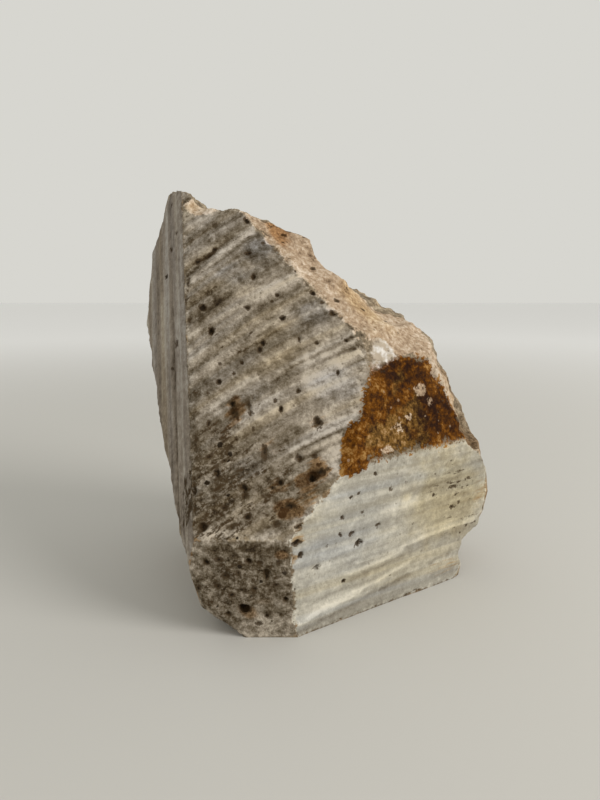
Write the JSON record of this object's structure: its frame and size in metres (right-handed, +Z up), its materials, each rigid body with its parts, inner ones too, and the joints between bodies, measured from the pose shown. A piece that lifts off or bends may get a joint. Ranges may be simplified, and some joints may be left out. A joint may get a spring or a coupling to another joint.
{
  "type": "soapstone block",
  "caption": "Rough soapstone carving block with saw-marked cut faces, a flat sawn bed and a leaning wedge shape, broken and iron-stained elsewhere.",
  "frame": {"origin": "centre of the bounding box in plan, on the sawn bed that the block rests on", "axes": "+Z up from the bed to the peak; the large sawn face looks along -Y and leans back; +X to the right of a viewer facing it"},
  "size_m": [0.288, 0.2238, 0.3058],
  "materials": {
    "soapstone": "dull sawn and broken stone, grey-tan with iron-brown stains and open pits"
  },
  "bodies": {
    "root": {"soapstone_block": "soapstone"}
  },
  "joints": []
}
